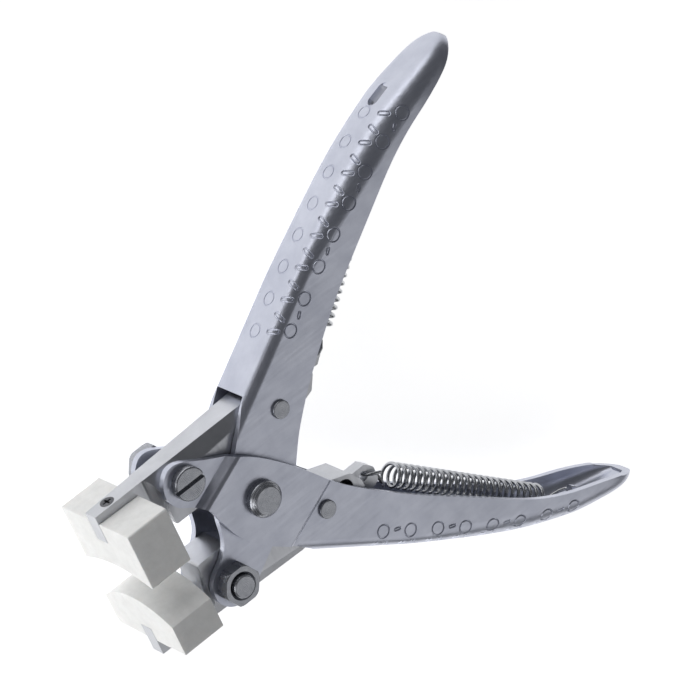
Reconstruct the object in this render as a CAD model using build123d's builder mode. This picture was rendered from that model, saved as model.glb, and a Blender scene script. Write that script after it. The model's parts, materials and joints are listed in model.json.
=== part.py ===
"""Parallel-action forming pliers with a pair of nylon jaw pads.

The tool lies on its side: +Z is the direction of every pivot pin, +X runs forward
through the jaw tips, and both jaws are modelled fully open. Handles are drawn in a
handle frame (X back along the grip, Y out towards the spine) and the jaws in a jaw
frame (X forward, Y out from the line of the two jaw pins). Everything is then placed
round the main pivot and moved so that the origin is the bottom centre of the open tool.
"""
import os
from math import cos, radians, sin

from build123d import *

os.makedirs("parts", exist_ok=True)

# ---- linkage -------------------------------------------------------------------
PIN_REACH = 18.2        # main pivot to each of the four jaw pins
OPEN_ANGLE = 45.7       # pin line to tool axis, jaws open
CLOSED_ANGLE = 29.6     # pin line to tool axis, pads meeting
GRIP_LEAD = 11.1        # pin line to grip line inside a handle
GRIP_ANGLE = OPEN_ANGLE - GRIP_LEAD
PIN_FORWARD = PIN_REACH * cos(radians(OPEN_ANGLE))
PIN_OFFSET = PIN_REACH * sin(radians(OPEN_ANGLE))
PIN_FORWARD_CLOSED = PIN_REACH * cos(radians(CLOSED_ANGLE))
SLOT_TRAVEL = 2 * (PIN_FORWARD_CLOSED - PIN_FORWARD)

# ---- sheet and levels (heights above the middle plane) ---------------------------
SHEET = 1.5
CHEEK_IN = 4.5          # inside face of a handle cheek
CHEEK_OUT = CHEEK_IN + SHEET
CHEEK_MIDDLE = (CHEEK_IN + CHEEK_OUT) / 2
RAISED_IN = 6.3         # inside face of the raised middle of the outer handle
RAISED_OUT = RAISED_IN + SHEET
JAW_HALF = 4.35         # half thickness of a jaw

# ---- pins ----------------------------------------------------------------------
FIT = 0.02              # fixed fit, radial
RUN = 0.06              # running fit, radial
PIVOT_D = 7.8
PIVOT_END = 10.1
PIVOT_CHAMFER = 1.0
GUIDE_D = 4.0
GUIDE_END = 6.7
STUD_D = 5.0
STUD_END = 9.8
STUD_CHAMFER = 0.3
SCREW_HEAD_D = 7.2
SCREW_HEAD_H = 1.8
DRIVE_SLOT = 0.95
DRIVE_DEPTH = 0.8
NUT_FLATS = 8.0
NUT_H = 3.0
NUT_MOUTH = 0.55         # countersink where the stud comes out

# ---- handle channel --------------------------------------------------------------
SPINE_START = 17.1
SPINE = 12.6            # grip line to outside of the spine, front half
SPINE_CORNER = 2.6
STRAIGHT_END = 40.0
GRIP_END = 101.5
WINDOW_HALF = 4.5       # half width of the gap in front of the spine
LOBE_OUTER = 5.4
LOBE_INNER = 5.25
LOW = 7.0               # how far sections reach below the grip line

# ---- anchor for the spring's rear loop -------------------------------------------
ANCHOR_START = 81.5
ANCHOR_END = 87.2
ANCHOR_W = 2.8
ANCHOR_FLOOR = 5.3      # the slot is cut from this height outwards
POST_T = 1.1
POST_W = 1.9
POST_TOP = 7.0
POST_DROP = 4.4

# ---- jaw -----------------------------------------------------------------------
TONGUE_TIP = 31.94
TONGUE_DEPTH = 6.6
TONGUE_HALF = 1.85
TONGUE_ROOT_HALF = 2.2
BODY_FRONT = 17.9
TAIL_END = -23.4
HOLLOW_BACK = [(TONGUE_TIP, 3.9), (-4.0, 4.9), (TAIL_END, 5.3)]
DOMED_BACK = [(TONGUE_TIP, 5.7), (-5.0, 5.95), (-9.5, 5.1), (TAIL_END, 5.3)]
LUG_HALF = 1.5
HOOK_X = -25.4
HOOK_Y = 2.3
HOOK_HOLE_D = 2.2

# ---- nylon pads ------------------------------------------------------------------
PAD_FRONT = 31.94
PAD_LENGTH = 10.2
PAD_HALF = 12.5
PAD_TOP = 15.22 - PIN_OFFSET        # outer face, from the pin line
HOLLOW_EDGE = 1.82
HOLLOW_DEPTH = 2.1
DOMED_EDGE = 8.05
DOMED_RISE = 3.8
PAD_GAP = 0.05
PAD_CHAMFER = 1.2
PAD_SCREW_X = 27.4
PAD_SCREW_HEAD = 3.1
PAD_SCREW_SHANK = 1.9
PAD_SCREW_LONG = 8.6
PAD_SCREW_PROUD = 0.06
RECESS_LONG = 1.9
RECESS_WIDE = 0.45
RECESS_DEEP = 0.7

# ---- springs ---------------------------------------------------------------------
WIRE_D = 0.8
COIL_R = 2.55
COIL_TURNS = 24
COIL_FRONT = (37.0, -1.5)
COIL_REAR = (77.8, 4.9)


def pin_point(reach):
    """Point on a handle's pin line, in the handle frame."""
    return (reach * cos(radians(GRIP_LEAD)), reach * sin(radians(GRIP_LEAD)))


FRONT_PIN = pin_point(-PIN_REACH)
REAR_PIN = pin_point(PIN_REACH)


# ---- handles ---------------------------------------------------------------------
# back along the grip, half width, spine height, corner radius, inside pulled forward
GRIP_SECTIONS = [
    (40.0, 6.00, 12.6, 2.6, 0.0),
    (46.0, 6.05, 12.5, 2.9, 0.0),
    (55.0, 6.45, 12.2, 3.9, 0.0),
    (65.0, 6.95, 11.6, 4.9, 0.0),
    (74.0, 7.15, 10.5, 5.4, 0.0),
    (82.0, 7.05, 8.7, 5.0, 0.0),
    (89.0, 6.70, 6.4, 4.4, 0.0),
    (94.0, 6.05, 4.4, 3.8, 0.2),
    (97.6, 4.95, 2.8, 3.0, 0.6),
    (99.9, 3.30, 1.5, 2.1, 1.0),
    (101.1, 1.60, 0.5, 1.1, 0.0),
]


def straight_channel(half, spine, corner, low):
    with BuildPart() as block:
        with BuildSketch(Plane.YZ) as section:
            with Locations(((spine - low) / 2, 0)):
                Rectangle(spine + low, 2 * half)
            fillet(section.vertices().group_by(Axis.X)[-1], corner)
        extrude(amount=STRAIGHT_END)
    return block.part


def swept_channel(sections, inset, low):
    with BuildPart() as block:
        for back, half, spine, corner, pull in sections:
            shift = pull if inset else 0.0
            with BuildSketch(Plane.YZ.offset(back - shift)) as section:
                with Locations(((spine - inset - low) / 2, 0)):
                    Rectangle(spine - inset + low, 2 * (half - inset))
                fillet(section.vertices().group_by(Axis.X)[-1], corner - inset)
        loft()
    return block.part


def grip_channel():
    """Pressed U section: straight at the front, widening and closing to the tip."""
    with BuildPart() as shell:
        add(straight_channel(CHEEK_OUT, SPINE, SPINE_CORNER, LOW))
        add(swept_channel(GRIP_SECTIONS, 0.0, LOW))
        add(straight_channel(CHEEK_IN, SPINE - SHEET, SPINE_CORNER - SHEET, LOW + 2),
            mode=Mode.SUBTRACT)
        add(swept_channel(GRIP_SECTIONS[:-1], SHEET, LOW + 2), mode=Mode.SUBTRACT)
        Box(2 * SPINE_START, 40, 2 * WINDOW_HALF, mode=Mode.SUBTRACT)
    return shell.part


RIM = [(18.6, -2.35), (25, -0.8), (31, 0.2), (41, 1.5), (52, 2.3), (63, 3.0), (73, 3.3),
       (82, 2.2), (90, 0.4), (96, -0.6), (GRIP_END, -0.9)]
INNER_FRONT = [(SPINE_START, 12.4), (14.5, 11.9), (11.7, 11.1), (8.4, 10.3), (4.6, 9.3),
               (0, 9.75), (-4, 9.0), (-7.3, 6.9), (-9.6, 4.5), (-12.0, 2.6), (-14.8, 1.8)]
INNER_BACK = [(-8.0, -8.75), (0, -8.3), (8.8, -6.0), (13.6, -3.95)]
OUTER_FRONT = [(SPINE_START, 12.4), (13.5, 11.6), (9.6, 10.8), (4.0, 10.3), (-1.6, 9.1),
               (-5.0, 7.7), (-7.4, 6.1), (-9.9, 4.1), (-12.0, 2.5), (-14.4, 1.9)]
OUTER_BACK = [(-15.3, -7.85), (-6.7, -8.76), (1.8, -7.73), (11.1, -5.05)]
INNER_LOBE_END = 270.0  # where the lobe's round gives way to the back edge, in degrees
OUTER_LOBE_END = 200.0


def handle_outline(front, back, lobe, lobe_end):
    """Side outline shared by both cheeks, from the jaw-pin lobe to the grip tip."""
    pin_x, pin_y = FRONT_PIN
    end = (pin_x + lobe * cos(radians(lobe_end)), pin_y + lobe * sin(radians(lobe_end)))
    high = 20.0
    with BuildPart() as block:
        with BuildSketch(Plane.XY) as side:
            with BuildLine():
                edge = Spline(*front, (pin_x, pin_y + lobe), tangents=[(-1, -0.3), (-1, 0)])
                nose = ThreePointArc(edge @ 1, (pin_x - lobe, pin_y), end)
                rim = Spline(nose @ 1, *back, *RIM, tangents=[nose % 1, (1, -0.1)])
                Polyline(rim @ 1, (GRIP_END, high), (SPINE_START, high), edge @ 0)
            make_face()
        extrude(amount=12, both=True)
    return block.part


def anchor_cutter():
    """Lanced slot in the spine, where the tab for the spring's post came from."""
    with BuildPart() as cutter:
        with BuildSketch(Plane.XZ.offset(-ANCHOR_FLOOR)):
            with Locations(((ANCHOR_START + ANCHOR_END) / 2, 0)):
                SlotOverall(ANCHOR_END - ANCHOR_START, ANCHOR_W)
        extrude(amount=-10)
    return cutter.part


def anchor_post():
    """The turned-in tab that the spring's rear loop goes round."""
    with BuildPart() as post:
        with Locations((ANCHOR_END - POST_T / 2 + 0.3, POST_TOP - POST_DROP / 2, 0)):
            Box(POST_T, POST_DROP, POST_W)
        fillet(post.edges().filter_by(Axis.X).group_by(Axis.Y)[0], 0.6)
    return post.part


def handle_holes(pivot_d):
    """Through holes for the main pivot, the jaw screw and the guide pin."""
    with BuildPart() as holes:
        Cylinder(pivot_d / 2, 30)
        with Locations((*FRONT_PIN, 0)):
            Cylinder(STUD_D / 2 + FIT, 30)
        with Locations((*REAR_PIN, 0)):
            Cylinder(GUIDE_D / 2 + FIT, 30)
    return holes.part


# ---- raised middle of the outer handle ---------------------------------------------
BAND_ANGLE = 29.5       # direction across the two bends, in the handle frame
BAND_FRONT = -10.5
BAND_REAR = 12.94
BAND_RUN = 1.6
BEND_OUTSIDE = 1.3      # radius over the raised edge of a bend
BEND_FOOT = 0.8         # radius where it meets the flat cheek
BEND_SHIFT = 0.58       # inside bend line sits this far in from the outside one


def raised_cheek():
    across = (cos(radians(BAND_ANGLE)), sin(radians(BAND_ANGLE)), 0)
    along = (sin(radians(BAND_ANGLE)), -cos(radians(BAND_ANGLE)), 0)
    tail = BAND_REAR + BAND_RUN + 0.9
    with BuildPart() as cheek:
        with BuildSketch(Plane(origin=(0, 0, 0), x_dir=across, z_dir=along)) as profile:
            with BuildLine():
                Polyline(
                    (-32, CHEEK_IN),
                    (BAND_FRONT - BAND_RUN + BEND_SHIFT, CHEEK_IN),
                    (BAND_FRONT + BEND_SHIFT, RAISED_IN),
                    (BAND_REAR - BEND_SHIFT, RAISED_IN),
                    (BAND_REAR + BAND_RUN - BEND_SHIFT, CHEEK_IN),
                    (tail, CHEEK_IN),
                    (tail, CHEEK_OUT),
                    (BAND_REAR + BAND_RUN, CHEEK_OUT),
                    (BAND_REAR, RAISED_OUT),
                    (BAND_FRONT, RAISED_OUT),
                    (BAND_FRONT - BAND_RUN, CHEEK_OUT),
                    (-32, CHEEK_OUT),
                    close=True,
                )
            make_face()
            raised_edge = profile.vertices().group_by(Axis.Y)[-1]
            foot = profile.vertices().group_by(Axis.Y)[1].sort_by(Axis.X)[1:-1]
            fillet(raised_edge, BEND_OUTSIDE)
            fillet(foot, BEND_FOOT)
        extrude(amount=34, both=True)
        mirror(about=Plane.XY)
    return cheek.part


def behind_band():
    """Half space behind the rear bend, where the channel takes over."""
    with BuildPart() as block:
        with Locations(Location((0, 0, 0), (0, 0, BAND_ANGLE))):
            with Locations((BAND_REAR + BAND_RUN + 0.4 + 75, 0, 0)):
                Box(150, 200, 40)
    return block.part


with BuildPart() as outer_handle:
    add(grip_channel())
    add(behind_band(), mode=Mode.INTERSECT)
    add(raised_cheek())
    add(handle_outline(OUTER_FRONT, OUTER_BACK, LOBE_OUTER, OUTER_LOBE_END), mode=Mode.INTERSECT)
    add(anchor_cutter(), mode=Mode.SUBTRACT)
    add(anchor_post())
    add(handle_holes(PIVOT_D + 2 * FIT), mode=Mode.SUBTRACT)

with BuildPart() as inner_handle:
    add(grip_channel())
    for middle in (CHEEK_MIDDLE, -CHEEK_MIDDLE):
        with Locations((-13.5, -1, middle)):
            Box(27.5, 26, SHEET)
        with Locations((4, -8, middle)):
            Box(30, 8, SHEET)
    add(handle_outline(INNER_FRONT, INNER_BACK, LOBE_INNER, INNER_LOBE_END), mode=Mode.INTERSECT)
    add(anchor_cutter(), mode=Mode.SUBTRACT)
    add(anchor_post())
    add(handle_holes(PIVOT_D + 2 * RUN), mode=Mode.SUBTRACT)


# ---- jaws --------------------------------------------------------------------------
def jaw_side(back):
    """Side outline; back is the outer edge, from the tongue tip to the tail."""
    floor = back[0][1] - TONGUE_DEPTH
    with BuildPart() as block:
        with BuildSketch(Plane.XY):
            with BuildLine():
                Polyline(
                    *back,
                    (TAIL_END, 0.8),
                    (-21.6, -2.2),
                    (-15.5, -4.4),
                    (5.0, -4.4),
                    (10.0, -7.6),
                    (BODY_FRONT, -7.6),
                    (BODY_FRONT + 0.6, floor),
                    (TONGUE_TIP, floor),
                    close=True,
                )
            make_face()
        extrude(amount=JAW_HALF, both=True)
        fillet(block.edges().filter_by(Axis.Z).group_by(Axis.Y)[0], 0.8)
        fillet(block.edges().filter_by(Axis.Z).group_by(Axis.X)[0], 0.7)
    return block.part


def jaw_plan():
    """Seen from the outer edge: narrow tongue, hollow shoulders, full body."""
    with BuildPart() as block:
        with BuildSketch(Plane.XZ) as plan:
            with BuildLine():
                tongue = Line((TONGUE_TIP, TONGUE_HALF), (BODY_FRONT + 2.3, TONGUE_ROOT_HALF))
                shoulder = RadiusArc(tongue @ 1, (BODY_FRONT, JAW_HALF), 2.4)
                back = Polyline(shoulder @ 1, (-40, JAW_HALF), (-40, -JAW_HALF),
                                (BODY_FRONT, -JAW_HALF))
                lower = RadiusArc(back @ 1, (BODY_FRONT + 2.3, -TONGUE_ROOT_HALF), 2.4)
                front = Line(lower @ 1, (TONGUE_TIP, -TONGUE_HALF))
                Line(front @ 1, tongue @ 0)
            make_face()
        extrude(amount=20, both=True)
    return block.part


def bevel_plane(side, height):
    """Draft on the outer half of the blade, steeper towards the nose."""
    return Plane(origin=(BODY_FRONT, height, side * 2.35), z_dir=(0.045, 0.5, side))


def spring_lug():
    with BuildPart() as lug:
        with BuildSketch(Plane.XY) as side:
            with BuildLine():
                Polyline(
                    (TAIL_END + 2.0, 5.2),
                    (-25.8, 6.3),
                    (-28.4, 5.2),
                    (-28.4, 1.9),
                    (-26.6, 0.1),
                    (TAIL_END + 0.4, 0.1),
                    close=True,
                )
            make_face()
            fillet(side.vertices().group_by(Axis.X)[0], 1.2)
        extrude(amount=LUG_HALF, both=True)
        with Locations((HOOK_X, HOOK_Y, 0)):
            Cylinder(HOOK_HOLE_D / 2, 10, mode=Mode.SUBTRACT)
    return lug.part


def steel_jaw(back):
    slot_middle = -PIN_FORWARD - SLOT_TRAVEL / 2
    nose = back[0][1] + 0.35
    with BuildPart() as jaw:
        add(jaw_side(back))
        add(jaw_plan(), mode=Mode.INTERSECT)
        split(bisect_by=bevel_plane(1, nose), keep=Keep.BOTTOM)
        split(bisect_by=bevel_plane(-1, nose), keep=Keep.BOTTOM)
        add(spring_lug())
        with Locations((PIN_FORWARD, 0, 0)):
            Cylinder(STUD_D / 2 + RUN, 20, mode=Mode.SUBTRACT)
        with BuildSketch(Plane.XY):
            with Locations((slot_middle, 0)):
                SlotCenterToCenter(SLOT_TRAVEL + 0.3, GUIDE_D + 2 * RUN)
        extrude(amount=10, both=True, mode=Mode.SUBTRACT)
        add(pad_screw(back), mode=Mode.SUBTRACT)
    return jaw.part


def edge_height(back, x):
    """Height of the jaw's outer edge at x, on its front stretch."""
    (front_x, front_y), (rear_x, rear_y) = back[:2]
    return front_y + (x - front_x) * (rear_y - front_y) / (rear_x - front_x)


def pad_screw(back):
    """Small countersunk cross-recess screw, driven in from the outer edge."""
    top = edge_height(back, PAD_SCREW_X) + PAD_SCREW_PROUD
    with BuildPart() as screw:
        with BuildSketch(Plane.XY) as half:
            with BuildLine():
                Polyline(
                    (0, 0),
                    (PAD_SCREW_HEAD / 2, 0),
                    (PAD_SCREW_HEAD / 2, -0.3),
                    (PAD_SCREW_SHANK / 2, -1.0),
                    (PAD_SCREW_SHANK / 2, -PAD_SCREW_LONG + 0.8),
                    (0, -PAD_SCREW_LONG),
                    close=True,
                )
            make_face()
        revolve(axis=Axis.Y)
    return screw.part.moved(Location((PAD_SCREW_X, top, 0)))


def cross_recess(back):
    with BuildPart() as recess:
        with Locations((PAD_SCREW_X, edge_height(back, PAD_SCREW_X), 0)):
            Box(RECESS_LONG, 2 * RECESS_DEEP, RECESS_WIDE)
            Box(RECESS_WIDE, 2 * RECESS_DEEP, RECESS_LONG)
    return recess.part


with BuildPart() as hollow_jaw:
    add(steel_jaw(HOLLOW_BACK))

with BuildPart() as domed_jaw:
    add(steel_jaw(DOMED_BACK))

with BuildPart() as hollow_pad_screw:
    add(pad_screw(HOLLOW_BACK))
    add(cross_recess(HOLLOW_BACK), mode=Mode.SUBTRACT)

with BuildPart() as domed_pad_screw:
    add(pad_screw(DOMED_BACK))
    add(cross_recess(DOMED_BACK), mode=Mode.SUBTRACT)


# ---- nylon pads --------------------------------------------------------------------
def tongue_slot(back):
    """Slot that takes the steel tongue, open to the outer face and to both ends."""
    floor = back[0][1] - TONGUE_DEPTH - PAD_GAP
    front = TONGUE_TIP + 1
    rear = PAD_FRONT - PAD_LENGTH - 1
    with BuildPart() as slot:
        with BuildSketch(Plane.XZ.offset(-floor)):
            with BuildLine():
                Polyline(
                    (front, TONGUE_HALF + PAD_GAP),
                    (rear, TONGUE_ROOT_HALF + 2 * PAD_GAP),
                    (rear, -TONGUE_ROOT_HALF - 2 * PAD_GAP),
                    (front, -TONGUE_HALF - PAD_GAP),
                    close=True,
                )
            make_face()
        extrude(amount=-15)
    return slot.part


with BuildPart() as hollow_pad:
    with BuildSketch(Plane.YZ.offset(PAD_FRONT - PAD_LENGTH)):
        with BuildLine():
            left = Line((PAD_TOP, PAD_HALF), (HOLLOW_EDGE - PIN_OFFSET, PAD_HALF))
            face = ThreePointArc(
                left @ 1,
                (HOLLOW_EDGE - PIN_OFFSET + HOLLOW_DEPTH, 0),
                (HOLLOW_EDGE - PIN_OFFSET, -PAD_HALF),
            )
            Polyline(face @ 1, (PAD_TOP, -PAD_HALF), left @ 0)
        make_face()
    extrude(amount=PAD_LENGTH)
    fillet(hollow_pad.edges().filter_by(Axis.X), 0.4)
    add(tongue_slot(HOLLOW_BACK), mode=Mode.SUBTRACT)
    add(pad_screw(HOLLOW_BACK), mode=Mode.SUBTRACT)

with BuildPart() as domed_pad:
    with BuildSketch(Plane.YZ.offset(PAD_FRONT - PAD_LENGTH)):
        with BuildLine():
            side = Line((PAD_TOP, PAD_HALF), (DOMED_EDGE - PIN_OFFSET, PAD_HALF))
            crown = ThreePointArc(
                side @ 1,
                (DOMED_EDGE - PIN_OFFSET - DOMED_RISE, 0),
                (DOMED_EDGE - PIN_OFFSET, -PAD_HALF),
            )
            Polyline(crown @ 1, (PAD_TOP, -PAD_HALF), side @ 0)
        make_face()
    extrude(amount=PAD_LENGTH)
    chamfer(domed_pad.edges().filter_by(Axis.X).group_by(Axis.Y)[-1].sort_by(Axis.Z)[0],
            PAD_CHAMFER)
    add(tongue_slot(DOMED_BACK), mode=Mode.SUBTRACT)
    add(pad_screw(DOMED_BACK), mode=Mode.SUBTRACT)


# ---- pins, screws and nuts ---------------------------------------------------------
with BuildPart() as main_pivot_pin:
    Cylinder(PIVOT_D / 2, 2 * PIVOT_END)
    chamfer(main_pivot_pin.edges().filter_by(GeomType.CIRCLE), PIVOT_CHAMFER)


def guide_pin():
    with BuildPart() as pin:
        Cylinder(GUIDE_D / 2, 2 * GUIDE_END)
        fillet(pin.edges().filter_by(GeomType.CIRCLE), 0.25)
    return pin.part


def jaw_screw():
    """Cheese-head screw with a driver slot; the head sits on the upper cheek."""
    with BuildPart() as screw:
        with Locations((0, 0, (CHEEK_OUT - STUD_END) / 2)):
            Cylinder(STUD_D / 2, CHEEK_OUT + STUD_END)
        chamfer(screw.faces().sort_by(Axis.Z)[0].edges(), STUD_CHAMFER)
        with Locations((0, 0, CHEEK_OUT + SCREW_HEAD_H / 2)):
            Cylinder(SCREW_HEAD_D / 2, SCREW_HEAD_H)
        fillet(screw.faces().sort_by(Axis.Z)[-1].edges(), 0.35)
        with Locations((0, 0, CHEEK_OUT + SCREW_HEAD_H)):
            Box(SCREW_HEAD_D + 1, DRIVE_SLOT, 2 * DRIVE_DEPTH, mode=Mode.SUBTRACT)
    return screw.part


def nut_crown():
    """Round blank whose chamfers take the points off the nut's corners."""
    with BuildPart() as crown:
        with Locations((0, 0, -CHEEK_OUT - NUT_H / 2)):
            Cylinder(NUT_FLATS * 0.57, NUT_H)
        chamfer(crown.edges().filter_by(GeomType.CIRCLE), 0.35)
    return crown.part


def hex_nut():
    """Nut on the lower cheek, under the far end of the screw."""
    with BuildPart() as nut:
        with BuildSketch(Plane.XY.offset(-CHEEK_OUT - NUT_H)):
            RegularPolygon(NUT_FLATS / 2, 6, major_radius=False)
        extrude(amount=NUT_H)
        add(nut_crown(), mode=Mode.INTERSECT)
        Cylinder(STUD_D / 2 + FIT, 30, mode=Mode.SUBTRACT)
        mouth = nut.faces().sort_by(Axis.Z)[0].edges().filter_by(GeomType.CIRCLE)
        chamfer(mouth.sort_by(SortBy.RADIUS)[0], NUT_MOUTH)
    return nut.part


pin_blank = guide_pin()
screw_and_head = jaw_screw()
nut_blank = hex_nut()

with BuildPart() as outer_guide_pin:
    add(pin_blank)

with BuildPart() as inner_guide_pin:
    add(pin_blank)

with BuildPart() as hollow_jaw_screw:
    add(screw_and_head)

with BuildPart() as domed_jaw_screw:
    add(screw_and_head)

with BuildPart() as hollow_jaw_nut:
    add(nut_blank)

with BuildPart() as domed_jaw_nut:
    add(nut_blank)


# ---- springs -----------------------------------------------------------------------
def hook_point():
    """Centre of the jaw's spring hole, seen in the frame of the handle it runs in."""
    turn = radians(GRIP_ANGLE)
    back = -HOOK_X
    out = PIN_OFFSET + HOOK_Y
    return (back * cos(turn) + out * sin(turn), out * cos(turn) - back * sin(turn))


def return_spring():
    hook_x, hook_y = hook_point()
    front = Vector(*COIL_FRONT, 0)
    rear = Vector(*COIL_REAR, 0)
    run = rear - front
    with BuildPart() as spring:
        with BuildLine():
            coil = Helix(run.length / COIL_TURNS, run.length, COIL_R, center=front, direction=run)
        with BuildSketch(Plane(origin=coil @ 0, z_dir=coil % 0)):
            Circle(WIRE_D / 2)
        sweep(is_frenet=True)
        with BuildLine():
            lead = Spline(
                coil @ 0,
                (hook_x + 4.6, hook_y - 1.1, 2.3),
                (hook_x + 1.4, hook_y - 0.8, 2.75),
                (hook_x + 0.2, hook_y - 0.1, 1.95),
                (hook_x + 0.2, hook_y - 0.1, -1.95),
                (hook_x + 1.4, hook_y - 0.8, -2.65),
                (hook_x + 3.6, hook_y - 1.0, -2.3),
                tangents=[-1 * (coil % 0), (1, -0.2, 0.3)],
            )
        with BuildSketch(Plane(origin=lead @ 0, z_dir=lead % 0)):
            Circle(WIRE_D / 2)
        sweep()
        with BuildLine():
            tail = Spline(
                coil @ 1,
                (84.0, 5.0, 2.2),
                (86.6, 3.9, 2.1),
                (88.7, 3.2, 0),
                (86.6, 3.9, -2.1),
                (84.4, 4.4, -1.7),
                tangents=[coil % 1, (-1, 0.2, 0.4)],
            )
        with BuildSketch(Plane(origin=tail @ 0, z_dir=tail % 0)):
            Circle(WIRE_D / 2)
        sweep()
    return spring.part


spring_blank = return_spring()

with BuildPart() as outer_spring:
    add(spring_blank)

with BuildPart() as inner_spring:
    add(spring_blank)


# ---- placing -----------------------------------------------------------------------
grip_cos = cos(radians(GRIP_ANGLE))
grip_sin = sin(radians(GRIP_ANGLE))
UPRIGHT = Location((0, 0, 0))
OUTER_HANDLE = Plane((0, 0, 0), x_dir=(-grip_cos, grip_sin, 0), z_dir=(0, 0, -1)).location
INNER_HANDLE = Plane((0, 0, 0), x_dir=(-grip_cos, -grip_sin, 0), z_dir=(0, 0, 1)).location
HOLLOW_JAW = Plane((0, -PIN_OFFSET, 0), x_dir=(1, 0, 0), z_dir=(0, 0, -1)).location
DOMED_JAW = Plane((0, PIN_OFFSET, 0), x_dir=(1, 0, 0), z_dir=(0, 0, 1)).location
HOLLOW_SCREW = Location((PIN_FORWARD, -PIN_OFFSET, 0))
DOMED_SCREW = Plane((PIN_FORWARD, PIN_OFFSET, 0), x_dir=(1, 0, 0), z_dir=(0, 0, -1)).location
OUTER_GUIDE = Location((-PIN_FORWARD, PIN_OFFSET, 0))
INNER_GUIDE = Location((-PIN_FORWARD, -PIN_OFFSET, 0))

pieces = [
    ("outer_handle", outer_handle, OUTER_HANDLE),
    ("inner_handle", inner_handle, INNER_HANDLE),
    ("hollow_jaw", hollow_jaw, HOLLOW_JAW),
    ("domed_jaw", domed_jaw, DOMED_JAW),
    ("hollow_pad", hollow_pad, HOLLOW_JAW),
    ("domed_pad", domed_pad, DOMED_JAW),
    ("hollow_pad_screw", hollow_pad_screw, HOLLOW_JAW),
    ("domed_pad_screw", domed_pad_screw, DOMED_JAW),
    ("main_pivot_pin", main_pivot_pin, UPRIGHT),
    ("outer_guide_pin", outer_guide_pin, OUTER_GUIDE),
    ("inner_guide_pin", inner_guide_pin, INNER_GUIDE),
    ("hollow_jaw_screw", hollow_jaw_screw, HOLLOW_SCREW),
    ("hollow_jaw_nut", hollow_jaw_nut, HOLLOW_SCREW),
    ("domed_jaw_screw", domed_jaw_screw, DOMED_SCREW),
    ("domed_jaw_nut", domed_jaw_nut, DOMED_SCREW),
    ("outer_spring", outer_spring, OUTER_HANDLE),
    ("inner_spring", inner_spring, INNER_HANDLE),
]

placed = {}
for name, piece, place in pieces:
    placed[name] = piece.part.moved(place)

boxes = [solid.bounding_box() for solid in placed.values()]
middle_x = (min(box.min.X for box in boxes) + max(box.max.X for box in boxes)) / 2
middle_y = (min(box.min.Y for box in boxes) + max(box.max.Y for box in boxes)) / 2
bottom = min(box.min.Z for box in boxes)
TO_ORIGIN = Location((-middle_x, -middle_y, -bottom))

for name, solid in placed.items():
    exported = solid.moved(TO_ORIGIN)
    exported.label = name
    export_step(exported, f"parts/{name}.step")
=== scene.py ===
# %% [markdown]
# # Parallel-jaw forming pliers
# Two pressed steel handles cross at one thick pivot pin. Each holds a jaw on a slotted screw,
# and a pin in the other handle slides in that jaw's slot, so the two nylon pads stay parallel.
# The CAD model gives every size and every joint. This lesson gives the tool its finish: broken
# edges, the stamped grip pattern, wound springs, steel and nylon.

# %% Load the frame
import json
from math import cos, pi, radians, sin

import bpy
from mathutils import Matrix, Vector
from mathutils.bvhtree import BVHTree


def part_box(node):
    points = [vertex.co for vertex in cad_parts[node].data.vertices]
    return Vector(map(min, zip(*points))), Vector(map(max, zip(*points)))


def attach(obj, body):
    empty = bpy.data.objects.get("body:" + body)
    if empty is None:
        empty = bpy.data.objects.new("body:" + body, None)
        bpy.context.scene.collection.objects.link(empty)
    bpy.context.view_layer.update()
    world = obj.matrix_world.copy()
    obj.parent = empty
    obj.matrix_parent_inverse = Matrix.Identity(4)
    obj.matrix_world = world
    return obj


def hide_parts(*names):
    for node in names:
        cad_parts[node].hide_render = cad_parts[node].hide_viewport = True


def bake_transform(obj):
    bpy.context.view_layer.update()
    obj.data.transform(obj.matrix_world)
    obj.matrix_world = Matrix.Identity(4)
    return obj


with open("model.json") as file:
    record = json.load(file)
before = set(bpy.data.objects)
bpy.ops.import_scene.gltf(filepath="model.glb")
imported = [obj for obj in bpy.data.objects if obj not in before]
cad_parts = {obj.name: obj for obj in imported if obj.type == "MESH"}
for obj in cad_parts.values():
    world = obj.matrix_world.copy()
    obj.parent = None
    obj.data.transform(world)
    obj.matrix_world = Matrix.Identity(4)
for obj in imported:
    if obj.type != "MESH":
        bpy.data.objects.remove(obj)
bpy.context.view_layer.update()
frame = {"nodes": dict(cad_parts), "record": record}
NODES = frame["nodes"]
print("pieces in the frame:", len(NODES))

# %% [markdown]
# ## Where things are
# Sizes are easier to read in millimetres, so `MM` turns them into metres. The pivot pin's own
# box gives the middle of the linkage. Each handle has a frame of its own there: x runs back
# along the grip, y points out towards the spine, and z is the pin direction.

# %% Handle frames
MM = 0.001
GRIP_TURN = radians(34.6)


def middle(node):
    low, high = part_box(node)
    return (low + high) / 2


PIVOT = middle("main_pivot_pin")


def handle_frame(side):
    """Matrix of a handle frame; side is +1 for the outer handle, -1 for the inner one."""
    along = Vector((-cos(GRIP_TURN), side * sin(GRIP_TURN), 0))
    out = Vector((sin(GRIP_TURN), side * cos(GRIP_TURN), 0))
    pins = along.cross(out)
    turn = Matrix((along, out, pins)).transposed().to_4x4()
    return Matrix.Translation(PIVOT) @ turn


OUTER_FRAME = handle_frame(1)
INNER_FRAME = handle_frame(-1)
print("pivot at", [round(value / MM, 2) for value in PIVOT], "mm")

# %% [markdown]
# ## Working copies
# A CAD node's mesh is loose triangles. To break its edges, a copy is merged into one skin, its
# flat faces are joined up again by a limited dissolve, and a bevel modifier rounds only the
# edges that turn sharply. A real part is never knife sharp: the small round is what catches
# the light and makes metal look like metal.


# %% Copy and bevel helpers
def only(piece):
    """Make one object the only selected and the active one."""
    bpy.ops.object.select_all(action="DESELECT")
    piece.hide_viewport = False
    piece.select_set(True)
    bpy.context.view_layer.objects.active = piece


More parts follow.
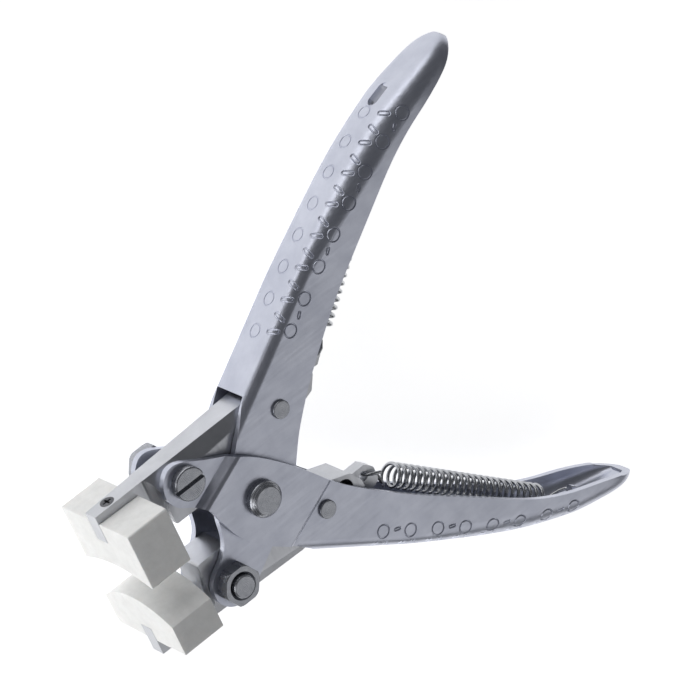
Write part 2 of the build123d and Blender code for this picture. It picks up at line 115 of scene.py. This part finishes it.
def merged_copy(node, name):
    """A copy of a CAD node with its triangles joined into one closed skin."""
    piece = bpy.data.objects.new(name, NODES[node].data.copy())
    bpy.context.scene.collection.objects.link(piece)
    piece.data.materials.clear()
    only(piece)
    bpy.ops.mesh.customdata_custom_splitnormals_clear()
    bpy.ops.object.mode_set(mode="EDIT")
    bpy.ops.mesh.select_all(action="SELECT")
    bpy.ops.mesh.remove_doubles(threshold=0.001 * MM)
    bpy.ops.object.mode_set(mode="OBJECT")
    return piece


def join_flats(piece, angle=0.6):
    only(piece)
    bpy.ops.object.mode_set(mode="EDIT")
    bpy.ops.mesh.select_all(action="SELECT")
    bpy.ops.mesh.dissolve_limited(angle_limit=radians(angle))
    bpy.ops.object.mode_set(mode="OBJECT")


def break_edges(piece, width, sharp=38, segments=2):
    """Round every edge that turns by more than the sharp angle."""
    only(piece)
    bevel = piece.modifiers.new("broken edges", "BEVEL")
    bevel.width = width * MM
    bevel.segments = segments
    bevel.limit_method = "ANGLE"
    bevel.angle_limit = radians(sharp)
    bevel.use_clamp_overlap = True
    bevel.harden_normals = False
    bpy.ops.object.modifier_apply(modifier=bevel.name)


def smooth(piece, angle=32):
    only(piece)
    bpy.ops.object.shade_smooth_by_angle(angle=radians(angle))
    weighted = piece.modifiers.new("weighted normals", "WEIGHTED_NORMAL")
    weighted.keep_sharp = True
    weighted.weight = 60
    bpy.ops.object.modifier_apply(modifier=weighted.name)


# %% [markdown]
# ## Steel
# All the steel shares one recipe. A metal shows almost no colour of its own, so its look is in
# its roughness and its fine grain. Stretched noise gives the grain left by rolling or polishing:
# it varies the roughness, and a weak bump makes it catch the light. A slow cloud varies the
# tone a little, as handled metal does. The tone of the sheet is a cool grey.


# %% Material helpers
def new_material(name, colour, metallic, roughness):
    material = bpy.data.materials.new(name)
    material.use_nodes = True
    shader = material.node_tree.nodes["Principled BSDF"]
    shader.inputs["Base Color"].default_value = (*colour, 1)
    shader.inputs["Metallic"].default_value = metallic
    shader.inputs["Roughness"].default_value = roughness
    return material, material.node_tree, shader


def object_mapping(tree, scale, turn=(0, 0, 0), place=(0, 0, 0)):
    """Object coordinates, turned about a place and stretched."""
    where = tree.nodes.new("ShaderNodeTexCoord")
    centred = tree.nodes.new("ShaderNodeVectorMath")
    centred.operation = "SUBTRACT"
    centred.inputs[1].default_value = place
    mapping = tree.nodes.new("ShaderNodeMapping")
    mapping.vector_type = "POINT"
    mapping.inputs["Rotation"].default_value = turn
    mapping.inputs["Scale"].default_value = scale
    tree.links.new(where.outputs["Object"], centred.inputs[0])
    tree.links.new(centred.outputs["Vector"], mapping.inputs["Vector"])
    return mapping.outputs["Vector"]


def noise(tree, vector, scale, detail=3.0, roughness=0.6):
    cloud = tree.nodes.new("ShaderNodeTexNoise")
    cloud.inputs["Scale"].default_value = scale
    cloud.inputs["Detail"].default_value = detail
    cloud.inputs["Roughness"].default_value = roughness
    tree.links.new(vector, cloud.inputs["Vector"])
    return cloud.outputs["Fac"]


def spread(tree, value, low, high):
    """Map a 0.3 to 0.7 noise onto low to high."""
    span = tree.nodes.new("ShaderNodeMapRange")
    span.inputs["From Min"].default_value = 0.3
    span.inputs["From Max"].default_value = 0.7
    span.inputs["To Min"].default_value = low
    span.inputs["To Max"].default_value = high
    tree.links.new(value, span.inputs["Value"])
    return span.outputs["Result"]


def tint(tree, value, dark, light):
    ramp = tree.nodes.new("ShaderNodeValToRGB")
    ramp.color_ramp.elements[0].position = 0.32
    ramp.color_ramp.elements[0].color = (*dark, 1)
    ramp.color_ramp.elements[1].position = 0.68
    ramp.color_ramp.elements[1].color = (*light, 1)
    tree.links.new(value, ramp.inputs["Fac"])
    return ramp.outputs["Color"]


def bump(tree, shader, height, distance):
    relief = tree.nodes.new("ShaderNodeBump")
    relief.inputs["Distance"].default_value = distance * MM
    relief.inputs["Strength"].default_value = 1.0
    tree.links.new(height, relief.inputs["Height"])
    tree.links.new(relief.outputs["Normal"], shader.inputs["Normal"])


def grained_steel(name, dark, light, rough, grain_turn, grain=(120, 2600, 2600), relief=0.004):
    """Steel with a grain along the direction that grain_turn gives."""
    material, tree, shader = new_material(name, light, 1.0, sum(rough) / 2)
    along = object_mapping(tree, grain, grain_turn, PIVOT)
    plain = object_mapping(tree, (1, 1, 1))
    lines = noise(tree, along, 1.0, 3.0)
    cloud = noise(tree, plain, 160.0, 4.0)
    tree.links.new(tint(tree, cloud, dark, light), shader.inputs["Base Color"])
    tree.links.new(spread(tree, lines, *rough), shader.inputs["Roughness"])
    bump(tree, shader, lines, relief)
    return material


# %% [markdown]
# The handle sheet is satin: soft and even, with the rolling grain running along the grip. The
# jaws are ground, so they are a little brighter and finer. Pins and screws are turned, and their
# grain runs in rings round their own middle.


# %% Steels
SATIN_DARK = (0.50, 0.52, 0.60)
SATIN_LIGHT = (0.59, 0.61, 0.69)
SATIN_ROUGH = (0.30, 0.40)
handle_steel = {
    "outer": grained_steel("satin_sheet_outer", SATIN_DARK, SATIN_LIGHT, SATIN_ROUGH,
                           (0, 0, GRIP_TURN)),
    "inner": grained_steel("satin_sheet_inner", SATIN_DARK, SATIN_LIGHT, SATIN_ROUGH,
                           (0, 0, -GRIP_TURN)),
}
jaw_steel = grained_steel("ground_jaw_steel", (0.52, 0.53, 0.56), (0.60, 0.61, 0.64),
                          (0.30, 0.42), (0, 0, 0), grain=(2400, 160, 2400))
spring_steel = grained_steel("drawn_spring_wire", (0.42, 0.43, 0.45), (0.56, 0.57, 0.59),
                             (0.20, 0.30), (0, 0, 0), grain=(900, 900, 900), relief=0.002)
print("steels:", len(handle_steel) + 2)


TURNED_DARK = (0.32, 0.33, 0.36)
TURNED_LIGHT = (0.42, 0.43, 0.46)
# Near-black tones for the small pad screws: painted shade, standing in for the dark of the
# recesses in the pads where they sit.
RECESS_SHADE_DARK = (0.08, 0.082, 0.09)
RECESS_SHADE_LIGHT = (0.16, 0.164, 0.175)


def turned_steel(name, centre, dark, light, rough):
    """Lathe-turned steel: rings round an axis along z through the given centre."""
    material, tree, shader = new_material(name, light, 1.0, sum(rough) / 2)
    about = object_mapping(tree, (1, 1, 1), (0, 0, 0), centre)
    rings = tree.nodes.new("ShaderNodeTexWave")
    rings.wave_type = "RINGS"
    rings.rings_direction = "Z"
    rings.inputs["Scale"].default_value = 900.0
    rings.inputs["Distortion"].default_value = 3.0
    rings.inputs["Detail"].default_value = 3.0
    rings.inputs["Detail Scale"].default_value = 2.0
    tree.links.new(about, rings.inputs["Vector"])
    cloud = noise(tree, about, 700.0, 4.0)
    tree.links.new(tint(tree, cloud, dark, light), shader.inputs["Base Color"])
    tree.links.new(spread(tree, rings.outputs["Fac"], *rough), shader.inputs["Roughness"])
    bump(tree, shader, rings.outputs["Fac"], 0.006)
    return material


# %% [markdown]
# ## Nylon
# The pads are sawn and milled from white nylon. It is milky: a little light goes in and comes
# back out, which subsurface scattering gives. Fine tool marks run across the faces and the
# surface is slightly mottled.


# %% Nylon
def milled_nylon():
    material, tree, shader = new_material("milled_nylon", (0.90, 0.90, 0.885), 0.0, 0.55)
    shader.inputs["Subsurface Weight"].default_value = 0.35
    shader.inputs["Subsurface Radius"].default_value = (0.0016, 0.0015, 0.0014)
    shader.inputs["Subsurface Scale"].default_value = 0.6
    shader.inputs["Specular IOR Level"].default_value = 0.35
    marks = noise(tree, object_mapping(tree, (300, 1500, 2600)), 1.0, 3.0)
    mottle = noise(tree, object_mapping(tree, (1, 1, 1)), 420.0, 5.0, 0.7)
    tree.links.new(tint(tree, mottle, (0.85, 0.85, 0.835), (0.94, 0.94, 0.925)),
                   shader.inputs["Base Color"])
    blend = tree.nodes.new("ShaderNodeMath")
    blend.operation = "ADD"
    tree.links.new(marks, blend.inputs[0])
    tree.links.new(mottle, blend.inputs[1])
    bump(tree, shader, blend.outputs["Value"], 0.05)
    return material


nylon = milled_nylon()
print("pads take", nylon.name)

# %% [markdown]
# ## Jaws, pads and hardware
# These shapes come straight from the CAD nodes. Each is copied, its flats are joined, and its
# edges are broken by the amount that such a part has: a tenth of a millimetre on ground steel
# and pins, and a quarter on the nylon.


# %% Finish the plain pieces
JAW_EDGE = 0.14
PAD_EDGE = 0.22
PIN_EDGE = 0.10
SMALL_SCREW_EDGE = 0.04


def finished(node, width, material, body, segments=2):
    """Copy a node, break its edges and give it its steel or nylon."""
    piece = merged_copy(node, "finished_" + node)
    join_flats(piece)
    break_edges(piece, width, segments=segments)
    smooth(piece)
    piece.data.materials.append(material)
    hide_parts(node)
    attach(piece, body)
    print(node, "has", len(piece.data.polygons), "faces")
    return piece


BODY_OF = {}
for body_name, members in frame["record"]["behaviour"]["bodies"].items():
    for member in members:
        BODY_OF[member] = body_name

for node in ("hollow_jaw", "domed_jaw"):
    finished(node, JAW_EDGE, jaw_steel, BODY_OF[node])

for node in ("hollow_pad", "domed_pad"):
    finished(node, PAD_EDGE, nylon, BODY_OF[node], segments=3)

for node in ("main_pivot_pin", "outer_guide_pin", "inner_guide_pin", "hollow_jaw_screw",
             "domed_jaw_screw", "hollow_jaw_nut", "domed_jaw_nut"):
    steel = turned_steel("turned_" + node, middle(node), TURNED_DARK, TURNED_LIGHT, (0.26, 0.38))
    finished(node, PIN_EDGE, steel, BODY_OF[node])

# The pad screws take the near-black tones: painted shade of the recesses they sit in.
for node in ("hollow_pad_screw", "domed_pad_screw"):
    steel = turned_steel("recess_shade_" + node, middle(node), RECESS_SHADE_DARK, RECESS_SHADE_LIGHT, (0.25, 0.40))
    finished(node, SMALL_SCREW_EDGE, steel, BODY_OF[node])

# %% [markdown]
# ## Stamped grips
# The grip pattern is pressed into the sheet: rings along the crown and along both shoulders,
# with short capsules between them. Each stamp is modelled once, a ring from a thin torus and a
# capsule from a torus pulled apart in the middle, then copied along the grip. All copies are
# cut out of the handle in one boolean, which leaves real grooves. Placing each stamp needs a
# point on the sheet and the direction it faces there, so a ray is cast at the sheet from outside.
# Then every point of the stamp is dropped onto the sheet, so it follows the round of the shoulder.

# %% Stamps
ROW_PITCH = 7.06
FIRST_ROW = 30.4
ROWS = 8
GROOVE = 0.20           # radius of the pressed line
RING = 1.45
SHEET_TOP = 30.0        # rays start this far out, clear of the sheet
CORE_DEPTH = 8.6        # crown to the line that angles round the grip are measured from
BESIDE_SLOT = 2.0
DROP = 3.0              # a stamp is dropped onto the sheet from this height


def torus(radius, name):
    bpy.ops.object.select_all(action="DESELECT")
    bpy.ops.mesh.primitive_torus_add(major_segments=28, minor_segments=8,
                                     major_radius=radius * MM, minor_radius=GROOVE * MM)
    piece = bpy.context.object
    piece.name = name
    return piece


def ring_stamp():
    return torus(RING, "ring_stamp")


def capsule_stamp(length, width, name):
    """A torus whose two halves are pulled apart along x."""
    radius = (width - 2 * GROOVE) / 2
    pull = (length - width) / 2 * MM
    piece = torus(radius, name)
    bpy.ops.object.mode_set(mode="EDIT")
    for side in (1, -1):
        bpy.ops.mesh.select_all(action="DESELECT")
        bpy.ops.object.mode_set(mode="OBJECT")
        for vertex in piece.data.vertices:
            vertex.select = vertex.co.x * side > 1e-7
        bpy.ops.object.mode_set(mode="EDIT")
        bpy.ops.transform.translate(value=(side * pull, 0, 0))
    bpy.ops.object.mode_set(mode="OBJECT")
    return piece


def crown_height(tree, place, x):
    """How high the crown stands above the grip line, measured beside the anchor slot."""
    start = place @ (Vector((x, SHEET_TOP, BESIDE_SLOT)) * MM)
    hit = tree.ray_cast(start, place.to_3x3() @ Vector((0, -1, 0)))[0]
    return (place.inverted() @ hit).y / MM


def sheet_point(tree, place, x, angle):
    """Point and outward normal of the sheet, seen from outside at an angle round the grip."""
    core = crown_height(tree, place, x) - CORE_DEPTH
    reach = Vector((0, cos(angle), sin(angle)))
    start = place @ ((Vector((x, core, 0)) + reach * SHEET_TOP) * MM)
    aim = (place.to_3x3() @ -reach).normalized()
    hit, normal, _, _ = tree.ray_cast(start, aim)
    if normal.dot(aim) > 0:
        normal = -normal
    return hit, normal


def set_stamp(stamp, tree, place, x, angle, turn):
    """Lay a copy of a stamp over the sheet; turn is measured from across the grip."""
    hit, normal = sheet_point(tree, place, x, angle)
    along = (place.to_3x3() @ Vector((1, 0, 0))).normalized()
    across = normal.cross(along).normalized()
    along = across.cross(normal)
    side = across * cos(turn) + along * sin(turn)
    other = normal.cross(side)
    copy = stamp.copy()
    copy.data = stamp.data.copy()
    bpy.context.scene.collection.objects.link(copy)
    for vertex in copy.data.vertices:
        flat = hit + side * vertex.co.x + other * vertex.co.y
        touch = tree.ray_cast(flat + normal * DROP * MM, -normal)[0] or flat
        vertex.co = touch + normal * vertex.co.z
    return copy


# %% [markdown]
# The rings stand in rows across the grip, each row a little further back at the cheeks. Between
# a crown ring and a cheek ring sits one capsule, and one more stands between the rows, slanted
# the other way. Every second gap on the cheek has a small one.


# %% Lay out one handle
# how far behind the crown ring each mark stands, its angle round the grip, and its own turn
CHEEK_RING = (2.7, 0.88, 0.0)
ACROSS = (1.1, 0.54, -0.36)
SLANTED = (4.3, 0.54, 0.42)
SMALL = (6.3, 0.92, 1.3)


def place_stamps(tree, place):
    ring = ring_stamp()
    capsule = capsule_stamp(2.9, 1.25, "capsule_stamp")
    small = capsule_stamp(1.9, 0.95, "small_stamp")

    def mark(stamp, x, side, back, angle, turn):
        stamps.append(set_stamp(stamp, tree, place, x + back, side * angle, turn))

    stamps = []
    for row in range(ROWS):
        x = FIRST_ROW + row * ROW_PITCH
        last = row == ROWS - 1
        stamps.append(set_stamp(ring, tree, place, x, 0.0, 0.0))
        for side in (1, -1):
            mark(ring, x, side, *CHEEK_RING)
            mark(capsule, x, side, ACROSS[0], ACROSS[1], side * ACROSS[2])
            if not last:
                mark(capsule, x, side, SLANTED[0], SLANTED[1], side * SLANTED[2])
            if row % 2 == 0:
                mark(small, x, side, *SMALL)
    for pattern in (ring, capsule, small):
        bpy.data.objects.remove(pattern)
    return stamps


def joined(pieces, name):
    bpy.ops.object.select_all(action="DESELECT")
    for piece in pieces:
        piece.select_set(True)
    bpy.context.view_layer.objects.active = pieces[0]
    bpy.ops.object.join()
    pieces[0].name = name
    return pieces[0]


SHEET_EDGE = 0.22


def stamped_handle(node, place, material):
    """The pressed handle: rounded sheet edges, then the grip pattern cut in."""
    piece = merged_copy(node, "stamped_" + node)
    join_flats(piece, 0.25)
    break_edges(piece, SHEET_EDGE)
    mesh = piece.data
    tree = BVHTree.FromPolygons([v.co.copy() for v in mesh.vertices],
                                [tuple(p.vertices) for p in mesh.polygons])
    stamps = place_stamps(tree, place)
    count = len(stamps)
    tool = joined(stamps, "stamps_" + node)
    only(piece)
    press = piece.modifiers.new("press", "BOOLEAN")
    press.operation = "DIFFERENCE"
    press.solver = "EXACT"
    press.object = tool
    bpy.ops.object.modifier_apply(modifier=press.name)
    bpy.data.objects.remove(tool)
    smooth(piece, 40)
    piece.data.materials.clear()
    piece.data.materials.append(material)
    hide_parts(node)
    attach(piece, BODY_OF[node])
    print(node, "took", count, "stamps and has", len(piece.data.polygons), "faces")
    return piece


stamped_handle("outer_handle", OUTER_FRAME, handle_steel["outer"])
stamped_handle("inner_handle", INNER_FRAME, handle_steel["inner"])

# %% [markdown]
# ## Return springs
# Each spring is one wire: a hook through the jaw's lug, a long close coil, and a loop round the
# post in the handle. The jaw's tail moves forward as the tool closes, so the front of the spring
# must follow it while the rear loop stays put. The wire is a curve given its thickness and
# turned into a mesh.

# %% Springs
WIRE = 0.40
COIL_RADIUS = 2.55
TURNS = 24
STEPS = 16
COIL_FRONT = Vector((37.0, -1.5, 0))
COIL_REAR = Vector((77.8, 4.9, 0))
HOOK = Vector((29.61, -1.81, 0))
HOOK_LEAD = [(3.6, -1.0, -2.3), (1.4, -0.8, -2.65), (0.2, -0.1, -1.95), (0.2, -0.1, 1.95),
             (1.4, -0.8, 2.75), (4.6, -1.1, 2.3)]
REAR_LOOP = [(84.0, 5.0, 2.2), (86.6, 3.9, 2.1), (88.7, 3.2, 0), (86.6, 3.9, -2.1),
             (84.4, 4.4, -1.7)]


def coil_points():
    run = COIL_REAR - COIL_FRONT
    axis = run.normalized()
    side = Vector((0, 0, 1)).cross(axis)
    points = []
    for step in range(TURNS * STEPS + 1):
        angle = 2 * pi * step / STEPS
        along = run * (step / (TURNS * STEPS))
        across = side * cos(angle) + Vector((0, 0, 1)) * sin(angle)
        points.append(COIL_FRONT + along + across * COIL_RADIUS)
    return points


def wound_spring(node, place):
    lead = [HOOK + Vector(point) for point in HOOK_LEAD]
    points = lead + coil_points() + [Vector(point) for point in REAR_LOOP]
    line = bpy.data.curves.new("wound_" + node, "CURVE")
    line.dimensions = "3D"
    line.bevel_depth = WIRE * MM
    line.bevel_resolution = 3
    line.use_fill_caps = True
    wire = line.splines.new("NURBS")
    wire.points.add(len(points) - 1)
    for knot, point in zip(wire.points, points):
        knot.co = (*(place @ (point * MM)), 1)
    wire.order_u = 4
    wire.use_endpoint_u = True
    wire.resolution_u = 2
    piece = bpy.data.objects.new("wound_" + node, line)
    bpy.context.scene.collection.objects.link(piece)
    only(piece)
    bpy.ops.object.convert(target="MESH")
    piece = bpy.context.object
    only(piece)
    bpy.ops.object.shade_smooth()
    piece.data.materials.clear()
    piece.data.materials.append(spring_steel)
    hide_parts(node)
    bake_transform(piece)
    print(node, "has", len(piece.data.polygons), "faces")
    return piece


wound_spring("outer_spring", OUTER_FRAME)
wound_spring("inner_spring", INNER_FRAME)

# %% [markdown]
# ## Stage
# A bright floor, a soft sheet overhead, one in front and one at the jaws' side. Metal mirrors its
# room: the pale sheets and the floor give the broad highlights, and the dark room behind the
# camera gives the dark band along the shoulder of the grip.

# %% Floor and lights
FLOOR_SIZE = 6.0
LIGHT_DISTANCE = 0.8


def pale_floor():
    bpy.ops.object.select_all(action="DESELECT")
    bpy.ops.mesh.primitive_plane_add(size=FLOOR_SIZE, location=(0, 0, -0.0004))
    floor = bpy.context.object
    floor.name = "floor"
    material, tree, shader = new_material("pale_floor", (0.92, 0.92, 0.92), 0.0, 0.9)
    shader.inputs["Emission Color"].default_value = (1, 1, 1, 1)
    shader.inputs["Emission Strength"].default_value = 0.80
    floor.data.materials.append(material)
    return floor


def soft_light(name, direction, size, brightness):
    """Pale sheet of light that faces the pivot; brightness 1 looks pure white."""
    light = bpy.data.lights.new(name, "AREA")
    light.shape = "RECTANGLE"
    light.size, light.size_y = size
    light.energy = brightness * pi * size[0] * size[1]
    lamp = bpy.data.objects.new(name, light)
    bpy.context.scene.collection.objects.link(lamp)
    away = Vector(direction).normalized()
    lamp.location = PIVOT + away * LIGHT_DISTANCE
    lamp.rotation_euler = away.to_track_quat("Z", "Y").to_euler()
    return lamp


pale_floor()
soft_light("overhead", (-0.25, 0.75, 0.75), (0.8, 0.6), 0.62)
soft_light("front", (0.1, -1.0, 0.05), (0.8, 0.4), 1.8)
soft_light("side", (1.0, -0.05, 0.2), (0.6, 0.6), 2.4)
print("lights:", len(bpy.data.lights))

world = bpy.data.worlds.new("studio")
world.use_nodes = True
world.node_tree.nodes["Background"].inputs["Color"].default_value = (0.93, 0.95, 1.0, 1)
world.node_tree.nodes["Background"].inputs["Strength"].default_value = 0.12
bpy.context.scene.world = world
bpy.context.scene.view_settings.view_transform = "Standard"

# %% [markdown]
# ## Camera
# A long lens from the pads' side and above. Its place is measured from the pivot, and its turn
# is given as three angles, the way a tripod head is set.

# %% Camera
CAMERA_PLACE = Vector((310.473, -465.083, 719.339))
CAMERA_TURN = (-16.12847, -35.40604, 153.76029)

lens = bpy.data.cameras.new("camera")
lens.sensor_width = 36.0
lens.lens = 230.475
lens.clip_start = 0.05
camera = bpy.data.objects.new("camera", lens)
bpy.context.scene.collection.objects.link(camera)
camera.location = PIVOT + CAMERA_PLACE * MM
camera.rotation_euler = [radians(angle) for angle in CAMERA_TURN]
bpy.context.scene.camera = camera
print("camera stands", round(CAMERA_PLACE.length), "mm from the pivot")
